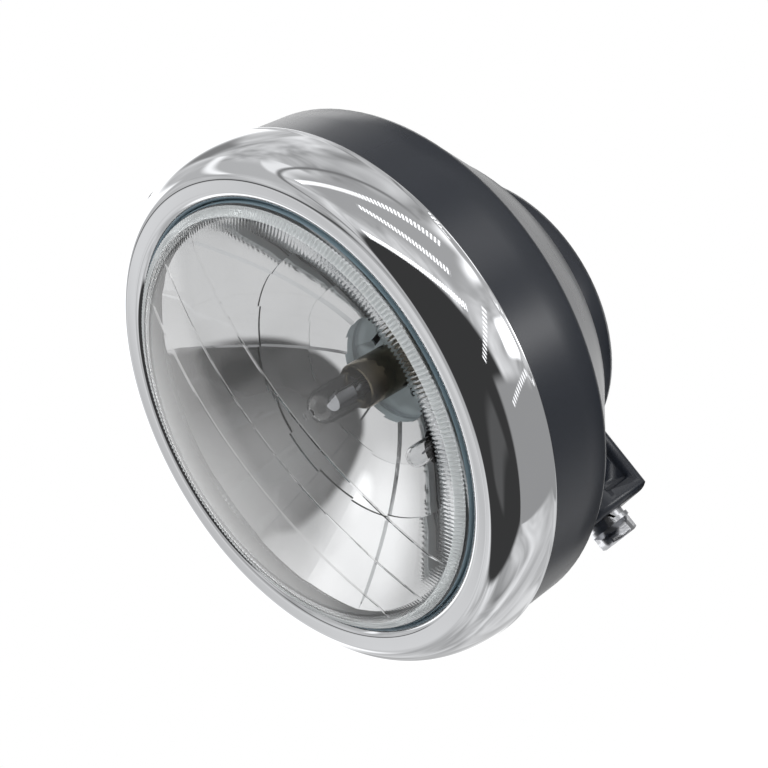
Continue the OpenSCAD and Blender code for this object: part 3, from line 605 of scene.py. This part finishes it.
class HEADLAMP_OT_stage(Operator):
    """Sets up the floor, the studio light and the camera"""
    bl_idname = "headlamp.stage"
    bl_label = "Stage"

    def execute(self, context):
        stage = context.scene.headlamp_stage
        self.add_floor(stage.floor_height)
        self.add_world(context)
        self.add_lamps()
        self.add_camera(context, stage)
        context.scene.view_settings.view_transform = "Standard"
        return {"FINISHED"}

    def add_floor(self, height):
        bm = bmesh.new()
        bmesh.ops.create_grid(bm, x_segments=1, y_segments=1, size=6.0)
        bmesh.ops.translate(bm, verts=bm.verts, vec=(0, 0, height))
        mesh = bpy.data.meshes.new("floor")
        bm.to_mesh(mesh)
        bm.free()
        floor = bpy.data.objects.new("floor", mesh)
        bpy.context.scene.collection.objects.link(floor)
        floor.visible_glossy = False
        floor.visible_transmission = False
        material, nodes, links, shader, _ = new_material("floor_white")
        shader.inputs["Base Color"].default_value = (0.9, 0.9, 0.9, 1)
        shader.inputs["Roughness"].default_value = 0.9
        path = nodes.new("ShaderNodeLightPath")
        glow = nodes.new("ShaderNodeEmission")
        glow.inputs["Strength"].default_value = 1.04
        part = nodes.new("ShaderNodeMath")
        part.operation = "MULTIPLY"
        part.inputs[1].default_value = 0.88
        mix = nodes.new("ShaderNodeMixShader")
        links.new(path.outputs["Is Camera Ray"], part.inputs[0])
        links.new(part.outputs[0], mix.inputs["Fac"])
        links.new(shader.outputs[0], mix.inputs[1])
        links.new(glow.outputs[0], mix.inputs[2])
        links.new(mix.outputs[0], nodes["Material Output"].inputs["Surface"])
        mesh.materials.append(material)

    def add_world(self, context):
        """White behind the object, even light on it, and the studio in its reflections."""
        world = bpy.data.worlds.new("studio")
        context.scene.world = world
        world.use_nodes = True
        nodes, links = world.node_tree.nodes, world.node_tree.links
        self.nodes, self.links = nodes, links
        around = nodes.new("ShaderNodeTexCoord").outputs["Generated"]
        cloud = nodes.new("ShaderNodeTexNoise")
        cloud.inputs["Scale"].default_value = 1.9
        cloud.inputs["Detail"].default_value = 2.0
        cloud.inputs["Distortion"].default_value = 1.6
        links.new(around, cloud.inputs["Vector"])
        level = self.calc("MULTIPLY_ADD", cloud.outputs["Fac"], 1.3, -0.03)
        level = self.add_patches(around, level, STUDIO)
        seen = self.add_patches(around, 0.6, BOWL_VIEW)
        path = nodes.new("ShaderNodeLightPath")
        through = self.calc("SUBTRACT", seen, level)
        level = self.calc("MULTIPLY_ADD", path.outputs["Is Transmission Ray"], through, level)
        even = self.calc("SUBTRACT", 0.75, level)
        level = self.calc("MULTIPLY_ADD", path.outputs["Is Diffuse Ray"], even, level)
        white = self.calc("SUBTRACT", 1.0, level)
        level = self.calc("MULTIPLY_ADD", path.outputs["Is Camera Ray"], white, level)
        links.new(level, nodes["Background"].inputs["Strength"])
        nodes["Background"].inputs["Color"].default_value = (1, 1, 1, 1)

    def add_patches(self, around, level, patches):
        """Blends each patch in turn over a level of brightness."""
        for name, pole, middle, wide, long, soft, bright, lamps in patches:
            share = self.patch(around, pole, middle, wide, long, soft, lamps)
            change = self.calc("SUBTRACT", bright, level)
            level = self.calc("MULTIPLY_ADD", share, change, level)
        return level

    def calc(self, operation, *values):
        """One Math node on numbers and sockets."""
        node = self.nodes.new("ShaderNodeMath")
        node.operation = operation
        for socket, value in zip(node.inputs, values):
            if isinstance(value, (int, float)):
                socket.default_value = value
            else:
                self.links.new(value, socket)
        return node.outputs[0]

    def edge(self, value, limit, soft):
        """Falls from one to zero where a value passes a limit."""
        span = self.nodes.new("ShaderNodeMapRange")
        span.interpolation_type = "SMOOTHSTEP"
        span.inputs["From Min"].default_value = limit - soft / 2
        span.inputs["From Max"].default_value = limit + soft / 2
        span.inputs["To Min"].default_value = 1.0
        span.inputs["To Max"].default_value = 0.0
        self.links.new(value, span.inputs["Value"])
        return span.outputs["Result"]

    def towards(self, around, direction):
        """The cosine between the view's direction and another one."""
        node = self.nodes.new("ShaderNodeVectorMath")
        node.operation = "DOT_PRODUCT"
        node.inputs[1].default_value = direction
        self.links.new(around, node.inputs[0])
        return node.outputs["Value"]

    def patch(self, around, pole, middle, wide, long, soft, lamps):
        """How far a direction lies inside a band along a circle about a pole."""
        pole, middle = self.heading(*pole), self.heading(*middle)
        ring = math.acos(max(-1.0, min(1.0, pole.dot(middle))))
        off = self.calc("SUBTRACT", self.calc("ARCCOSINE", self.towards(around, pole)), ring)
        off = self.calc("ABSOLUTE", off)
        share = self.edge(off, math.radians(wide), math.radians(soft))
        if long < 180:
            first = (middle - pole * pole.dot(middle)).normalized()
            second = pole.cross(first)
            turn = self.calc("ARCTAN2", self.towards(around, second), self.towards(around, first))
            end = self.edge(self.calc("ABSOLUTE", turn), math.radians(long), math.radians(soft))
            share = self.calc("MULTIPLY", share, end)
            if lamps:
                wave = self.calc("COSINE", self.calc("MULTIPLY", turn, lamps * 360))
                share = self.calc("MULTIPLY", share, self.edge(wave, 0.0, 0.6))
        return share

    def heading(self, right, up):
        """The direction that lies so many degrees to the right of straight ahead and up."""
        a, b = math.radians(right), math.radians(up)
        return Vector((math.sin(a) * math.cos(b), -math.cos(a) * math.cos(b), math.sin(b)))

    def add_lamps(self):
        for name, place, size, power in (("key", (0.3, -0.7, 1.1), 0.9, 7.0),
                                         ("fill", (1.2, 0.2, 0.4), 0.8, 5.0),
                                         ("back", (-0.8, 0.9, 0.6), 0.8, 3.0)):
            light = bpy.data.lights.new(name, "AREA")
            light.size = size
            light.energy = power
            lamp = bpy.data.objects.new(name, light)
            bpy.context.scene.collection.objects.link(lamp)
            lamp.location = place
            lamp.rotation_euler = (Vector((0, 0, 0.08)) - Vector(place)).to_track_quat("-Z", "Y").to_euler()
            lamp.visible_glossy = False
            lamp.visible_transmission = False

    def add_camera(self, context, stage):
        lens = bpy.data.cameras.new("camera")
        lens.lens = stage.focal_length
        lens.sensor_width = 36.0
        camera = bpy.data.objects.new("camera", lens)
        context.scene.collection.objects.link(camera)
        right = Vector((0.404, 0.689, -0.602)).normalized()
        back = Vector((0.775, -0.607, -0.173)).normalized()
        up = back.cross(right).normalized()
        right = up.cross(back)
        camera.matrix_world = Matrix((right, up, back)).transposed().to_4x4()
        camera.location = stage.camera_place
        context.scene.camera = camera


class HEADLAMP_PT_panel(Panel):
    """Sizes and colours of the headlamp"""
    bl_label = "Headlamp"
    bl_idname = "HEADLAMP_PT_panel"
    bl_space_type = "VIEW_3D"
    bl_region_type = "UI"
    bl_category = "Headlamp"

    def draw(self, context):
        for group, operators in PANEL_ROWS:
            box = self.layout.box()
            values = getattr(context.scene, group)
            for key in values.__annotations__:
                box.prop(values, key)
            for operator in operators:
                box.operator(operator)


GROUPS = {"headlamp_rim": HeadlampRim, "headlamp_lens": HeadlampLens,
          "headlamp_reflector": HeadlampReflector, "headlamp_finish": HeadlampFinish,
          "headlamp_stage": HeadlampStage}
OPERATORS = (HEADLAMP_OT_rim, HEADLAMP_OT_lens, HEADLAMP_OT_reflector, HEADLAMP_OT_bulbs,
             HEADLAMP_OT_housing, HEADLAMP_OT_fixings, HEADLAMP_OT_stage)
PANEL_ROWS = (("headlamp_rim", ("headlamp.rim",)), ("headlamp_lens", ("headlamp.lens",)),
              ("headlamp_reflector", ("headlamp.reflector",)),
              ("headlamp_finish", ("headlamp.bulbs", "headlamp.housing", "headlamp.fixings")),
              ("headlamp_stage", ("headlamp.stage",)))


def register():
    for cls in (*GROUPS.values(), *OPERATORS, HEADLAMP_PT_panel):
        bpy.utils.register_class(cls)
    for name, group in GROUPS.items():
        setattr(bpy.types.Scene, name, PointerProperty(type=group))


def unregister():
    for name in GROUPS:
        delattr(bpy.types.Scene, name)
    for cls in reversed((*GROUPS.values(), *OPERATORS, HEADLAMP_PT_panel)):
        bpy.utils.unregister_class(cls)


def main():
    register()
    bpy.ops.headlamp.stage()
    bpy.ops.headlamp.rim()
    bpy.ops.headlamp.lens()
    bpy.ops.headlamp.reflector()
    bpy.ops.headlamp.bulbs()
    bpy.ops.headlamp.housing()
    bpy.ops.headlamp.fixings()


if __name__ == "__main__":
    main()
